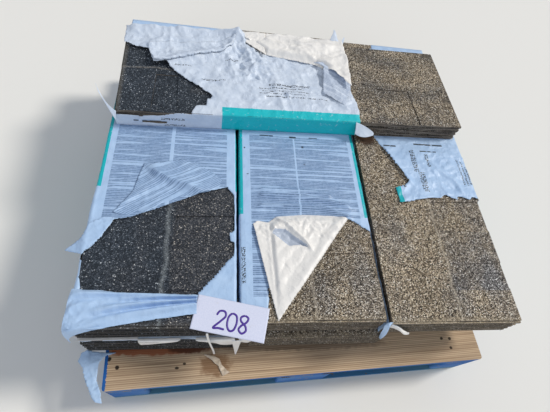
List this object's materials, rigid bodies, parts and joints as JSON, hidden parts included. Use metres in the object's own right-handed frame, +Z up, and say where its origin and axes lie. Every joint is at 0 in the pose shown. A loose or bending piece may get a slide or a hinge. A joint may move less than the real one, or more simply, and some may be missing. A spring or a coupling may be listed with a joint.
{
  "type": "pallet load of asphalt shingle bundles",
  "caption": "Bundles of laminated asphalt roofing shingles in torn film wrappers, stacked lengthwise and across on a wooden block pallet with forklift entries.",
  "frame": {"origin": "middle of the pallet's underside", "axes": "+X along the deck boards, to the right seen from the front; +Y to the back, along the stringer boards and the fork entries; +Z up"},
  "size_m": [1.1541, 1.219, 0.4148],
  "materials": {
    "granules": "mineral granules on asphalt, matt",
    "film": "white polyethylene wrapping film, crumpled",
    "card": "white coated card",
    "wood": "sawn softwood, blue paint on the edges"
  },
  "bodies": {
    "root": {"across_bundle": "granules", "across_wrapper": "film", "base_board_back": "wood", "base_board_centre": "wood", "base_board_front": "wood", "block_back_left": "wood", "block_back_middle": "wood", "block_back_right": "wood", "block_centre_left": "wood", "block_centre_middle": "wood", "block_centre_right": "wood", "block_front_left": "wood", "block_front_middle": "wood", "block_front_right": "wood", "deck_board_1": "wood", "deck_board_2": "wood", "deck_board_3": "wood", "deck_board_4": "wood", "deck_board_5": "wood", "lead_board_back": "wood", "lead_board_front": "wood", "lot_card": "card", "lower_bundle_left": "granules", "lower_bundle_middle": "granules", "lower_bundle_right": "granules", "lower_wrapper_left": "film", "lower_wrapper_middle": "film", "lower_wrapper_right": "film", "stringer_board_left": "wood", "stringer_board_middle": "wood", "stringer_board_right": "wood", "upper_bundle_left": "granules", "upper_bundle_middle": "granules", "upper_bundle_right": "granules", "upper_wrapper_left": "film", "upper_wrapper_middle": "film", "upper_wrapper_right": "film"}
  },
  "joints": []
}
